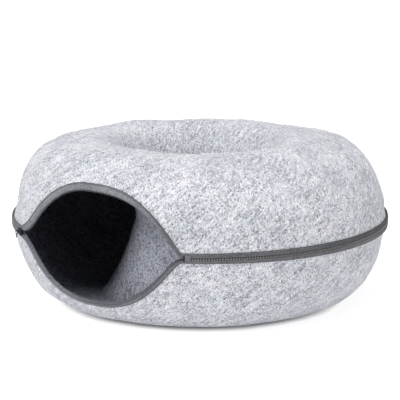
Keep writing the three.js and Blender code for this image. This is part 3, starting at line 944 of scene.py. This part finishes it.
def stitching(half, lip, material):
    """A row of stitches along the outer edge of a tape."""
    first, last = STATION_SPANS[0][0], STATION_SPANS[-1][1]
    frames = evenly_spaced(lip, first, last, STITCH["pitch"], stitch_line)
    middle = stitch_line(frames, TAPE["edge_thickness"] * STITCH["seat"] - STITCH["sink"])
    along, out = frames["along"], frames["out"]
    ways = (along, np.cross(out, along), out)
    piece = scattered(f"stitches_{half}", *stitch_shape(), middle, *ways)
    finish_piece(piece, material, "zip_tape")


# ---------- slider, pull and end of the chain ----------
# Angle between faces from which an edge is softened.
SOFT_FROM = math.radians(35)


def zip_piece(name, azimuth, points, faces, soft_edge, segments=2):
    """A piece with soft edges at an azimuth of the zip line: x along it, y up and z outwards."""
    up = np.array([0.0, 0.0, 1.0])
    ways = (around(azimuth + 90.0, 1.0, 0.0), up, around(azimuth, 1.0, 0.0))
    piece = add_object(name, placed(points, up * MIDDLE_HEIGHT, ways), faces)
    made = piece.modifiers.new("soft_edges", "BEVEL")
    made.width, made.segments, made.limit_method = soft_edge * MM, segments, "ANGLE"
    made.angle_limit = SOFT_FROM
    return piece


# Half outline of the slider from its narrow tail (-x) to its wide nose (+x).
SLIDER_OUTLINE = [
    (-6.5, 1.9), (-5.9, 3.2), (-4.5, 3.75), (-1.0, 3.85), (1.6, 4.7),
    (3.4, 5.25), (5.4, 5.15), (6.4, 4.2), (6.5, 1.2),
]
BRIDGE_LINE = [(-4.0, 0.0), (-4.0, 2.2), (-2.9, 3.0), (2.9, 3.0), (4.0, 2.2), (4.0, 0.0)]
BRIDGE_BAR = {"wide": 1.8, "thick": 1.1}
SLIDER_SEAT = RIDGE_RADIUS + SEAM_GAP
SLIDER = {"thick": 2.0, "bevel": 0.5, "taper": 0.88, "bridge_sink": 0.3, "soft_edge": 0.25}


def bar_along(line, wide, thick):
    """A flat bar that follows an arch in x and z; it is wide in y and thick towards the inside."""
    line = np.asarray(line, float)
    shrunk = line * [1.0 - thick / np.max(line[:, 0]), 1.0]
    shrunk[1:-1, 1] -= thick
    half = wide / 2
    corners = ((line, -half), (line, half), (shrunk, half), (shrunk, -half))
    rows = [np.insert(part, 1, y, axis=1) for part, y in corners]
    points = np.stack(rows, axis=1).reshape(-1, 3)
    return points, tube_faces(len(line), len(corners))


def slider(material):
    outline = SLIDER_OUTLINE + [(x, -y) for x, y in SLIDER_OUTLINE[::-1]]
    front = SLIDER["thick"]
    layers = [(0.0, 1.0, 0.0), (front - SLIDER["bevel"], 1.0, 0.0), (front, SLIDER["taper"], 0.0)]
    body, body_faces = stacked(outline[::-1], layers)
    bridge, bridge_faces = bar_along(BRIDGE_LINE, **BRIDGE_BAR)
    bridge[:, 2] += front - SLIDER["bridge_sink"]
    points = np.concatenate([body, bridge]) + [0.0, 0.0, SLIDER_SEAT]
    faces = body_faces + [[len(body) + corner for corner in face] for face in bridge_faces]
    piece = zip_piece("slider_body", SLIDER_AZIMUTH, points, faces, SLIDER["soft_edge"])
    finish_piece(piece, material, "slider_metal", "zip_slider")


# Pull seen from its broad side: outer outline and hole, as y up and z outwards from the bar.
PULL_OUTLINE = [
    (1.05, -0.6), (0.95, 0.9), (0.3, 1.75), (-1.6, 1.8), (-3.4, 1.15), (-8.6, 0.95),
    (-9.4, 0.5), (-9.4, -0.5), (-8.6, -0.95), (-3.4, -1.15), (-1.6, -1.8), (0.3, -1.75),
]
PULL_HOLE = [
    (0.3, -0.5), (0.3, 0.5), (-0.2, 1.0), (-1.5, 1.05), (-2.6, 0.7), (-2.9, 0.4),
    (-3.0, 0.2), (-3.0, -0.2), (-2.9, -0.4), (-2.6, -0.7), (-1.5, -1.05), (-0.2, -1.0),
]
# along, up and out place the pull on the bridge, from the middle of the slider's front.
PULL = {"half_thick": 0.6, "soft_edge": 0.2, "along": -1.2, "up": 0.9, "out": 2.45}


def slider_pull(material):
    """A slim tab with a loop round the bridge, hanging down."""
    half, count = PULL["half_thick"], len(PULL_OUTLINE)
    loops = [(PULL_OUTLINE, -half), (PULL_OUTLINE, half), (PULL_HOLE, half), (PULL_HOLE, -half)]
    points = np.array([(x, y, z) for outline, x in loops for y, z in outline])
    # The last loop joins the first again, so the hole goes right through.
    sides = tube_faces(len(loops) + 1, count)[2:]
    faces = [[corner % len(points) for corner in face] for face in sides]
    points = points + [PULL["along"], PULL["up"], SLIDER_SEAT + SLIDER["thick"] + PULL["out"]]
    piece = zip_piece("slider_pull_tab", SLIDER_AZIMUTH, points, faces, PULL["soft_edge"])
    finish_piece(piece, material, "slider_metal", "slider_pull")


# A short tab of tape folded over the end of the chain, and a dark metal bar pinched over both
# tapes at the entrance's right corner. back and front are heights over the tapes.
END_TAB = {
    "azimuth": -3.4, "half_width": 3.75, "top": 4.1, "bottom": -4.2, "back": -0.6,
    "front": 1.15, "bevel": 0.4, "taper": 0.9, "soft_edge": (0.35, 3),
}
END_BAR = {
    "azimuth": -4.57, "half_width": 0.95, "top": 3.2, "bottom": -3.2, "back": -0.6,
    "front": 1.5, "bevel": 0.3, "taper": 0.85, "soft_edge": (0.2, 2),
}


def end_block(name, block, material, slot, *nodes):
    """A block on the zip line with a slightly smaller front and soft edges."""
    wide, top, bottom, front = (block[key] for key in ("half_width", "top", "bottom", "front"))
    outline = [(-wide, bottom), (wide, bottom), (wide, top), (-wide, top)]
    face = (front, block["taper"], 0.0)
    layers = [(block["back"], 1.0, 0.0), (front - block["bevel"], 1.0, 0.0), face]
    points, faces = stacked(outline, layers)
    points[:, 2] += RIDGE_RADIUS
    piece = zip_piece(name, block["azimuth"], points, faces, *block["soft_edge"])
    finish_piece(piece, material, slot, *nodes)


# ---------- stage ----------
CAMERA = {"back": 3.0, "height": 0.7625, "pitch": 0.208, "lens": 207.49, "sensor": 36.0, "far": 100.0}


def add_camera():
    """Long lens that looks down at the object from its front, by its pitch in radians."""
    data = bpy.data.cameras.new("view")
    data.lens, data.sensor_width = CAMERA["lens"], CAMERA["sensor"]
    data.clip_end = CAMERA["far"]
    camera = in_scene("view", data)
    camera.location = (0.0, -CAMERA["back"], CAMERA["height"])
    camera.rotation_euler = (math.pi / 2 - CAMERA["pitch"], 0.0, 0.0)
    bpy.context.scene.camera = camera


def seen_directly(tree):
    """1 for rays from the camera or by way of a gloss or a clear piece, 0 for all others."""
    path = node(tree, "LightPath")
    rays = [path.outputs[f"Is {kind} Ray"] for kind in ("Camera", "Glossy", "Transmission")]
    return strongest(tree, rays, "MAXIMUM")


def shader_mix(tree, share, first, second):
    return node(tree, "MixShader", {0: share, 1: first, 2: second}).outputs[0]


WHITE = (1.0, 1.0, 1.0, 1.0)
WORLD_LIGHT = 0.56


def add_world():
    """White surroundings, which light the scene with less than their full strength."""
    world = bpy.data.worlds.new("studio")
    world.use_nodes = True
    tree = world.node_tree
    tree.nodes.clear()
    light, white = (
        node(tree, "Background", {"Color": WHITE, "Strength": strength}).outputs[0]
        for strength in (WORLD_LIGHT, 1.0)
    )
    surface = shader_mix(tree, seen_directly(tree), light, white)
    node(tree, "OutputWorld", {"Surface": surface})
    bpy.context.scene.world = world


# Soft round lamps, all aimed at the middle of the ring: place, diameter and power.
LAMP_TARGET = (0.0, 0.0, 0.1)
LAMPS = {
    "key": ((-1.3, 0.1, 2.7), 1.6, 6.5),
    "top": ((0.0, -0.3, 3.0), 1.8, 41.0),
    "fill_left": ((-2.0, -2.0, 1.6), 1.2, 15.5),
    "low_left": ((-2.2, -1.9, 0.45), 1.0, 7.6),
    "fill_right": ((1.4, -2.6, 0.9), 1.2, 11.5),
}


def add_lamp(name, place, size, watts):
    data = bpy.data.lights.new(name, "AREA")
    data.shape, data.size, data.energy = "DISK", size, watts
    lamp = in_scene(name, data)
    lamp.location = place
    way = np.array(LAMP_TARGET) - np.array(place)
    flat = math.hypot(way[0], way[1])
    lamp.rotation_euler = (math.atan2(flat, -way[2]), 0.0, math.atan2(-way[0], way[1]))


FLOOR = {"half_size": 15.0, "drop": 0.0004, "color": (0.86, 0.86, 0.86), "samples": 16}
# Glow of the floor: its share where it is seen, its share as a light, and its strength.
FLOOR_GLOW = {"seen": 0.47, "light": 0.24, "strength": 1.6}
# Clearances under the object within which the floor loses its glow and its own colour; the
# darkened colour is a painted contact shadow.
CONTACT = {"glow": 0.007, "color": 0.0055}
# Painted contact shadow: openness where the floor is darkest and where it is plain; left is the
# darkest part's colour share.
PAINTED_CONTACT_SHADOW = {"closed": 0.05, "open": 0.6, "left": 0.33}


def floor_material():
    """Rough pale floor that takes the shadow; a share of white glow hides its far edge."""
    material, tree, shader = new_material("pale_floor")
    openness = {key: clearance(tree, reach, FLOOR["samples"]) for key, reach in CONTACT.items()}
    darkest = [channel * PAINTED_CONTACT_SHADOW["left"] for channel in FLOOR["color"]]
    shades = [(PAINTED_CONTACT_SHADOW["closed"], darkest), (PAINTED_CONTACT_SHADOW["open"], FLOOR["color"])]
    # Painted contact shadow: the floor's colour darkens where the object closes it in.
    color = ramp(tree, openness["color"], shades)
    set_inputs(tree, shader, {"Base Color": color, "Roughness": 1.0, "Specular IOR Level": 0.0})
    glow = node(tree, "Emission", {"Strength": FLOOR_GLOW["strength"]}).outputs[0]
    seen_share = compute(tree, "MULTIPLY", openness["glow"], FLOOR_GLOW["seen"])
    inputs = {"Factor": seen_directly(tree), "A": FLOOR_GLOW["light"], "B": seen_share}
    share = node(tree, "Mix", inputs, data_type="FLOAT").outputs["Result"]
    surface = shader_mix(tree, share, shader.outputs[0], glow)
    set_inputs(tree, tree.nodes["Material Output"], {"Surface": surface})
    return material


def add_floor():
    half = FLOOR["half_size"] / MM
    corners = [(-half, -half, 0), (half, -half, 0), (half, half, 0), (-half, half, 0)]
    floor = add_object("floor", corners, [[0, 1, 2, 3]])
    floor.location.z = -FLOOR["drop"]
    floor.data.materials.append(floor_material())


# ---------- assembly ----------
def build():
    felt = felt_material()
    weaves = {half: tape_material(f"{half}_tape_weave", TAPE_PAINTED_SHADES[half]) for half in LIPS}
    looks = {name: speckled_material(name, *look) for name, look in SMALL_LOOKS.items()}

    upper, lower = (felt_half(half, lip, felt) for half, lip in LIPS.items())

    for half, lip in LIPS.items():
        zip_tape(half, lip, weaves[half])
    # Painted light on the lower teeth and painted shade on the upper tips, in copies of one resin.
    chain_teeth(looks["resin_painted_light"], looks["resin_painted_shade"])
    for half, lip in LIPS.items():
        lip_teeth(half, lip, looks["tooth_resin"])
    for half, lip in LIPS.items():
        stitching(half, lip, looks["thread"])
    slider(looks["slider_enamel"])
    slider_pull(looks["pull_metal"])
    end_block("end_tab", END_TAB, looks["end_tab_weave"], "zip_tape", "zip_end_stop")
    end_block("end_bar", END_BAR, looks["slider_enamel"], "slider_metal")


add_camera()
build()
add_world()
for lamp_name, lamp in LAMPS.items():
    add_lamp(lamp_name, *lamp)
add_floor()
bpy.context.scene.view_settings.view_transform = "Standard"
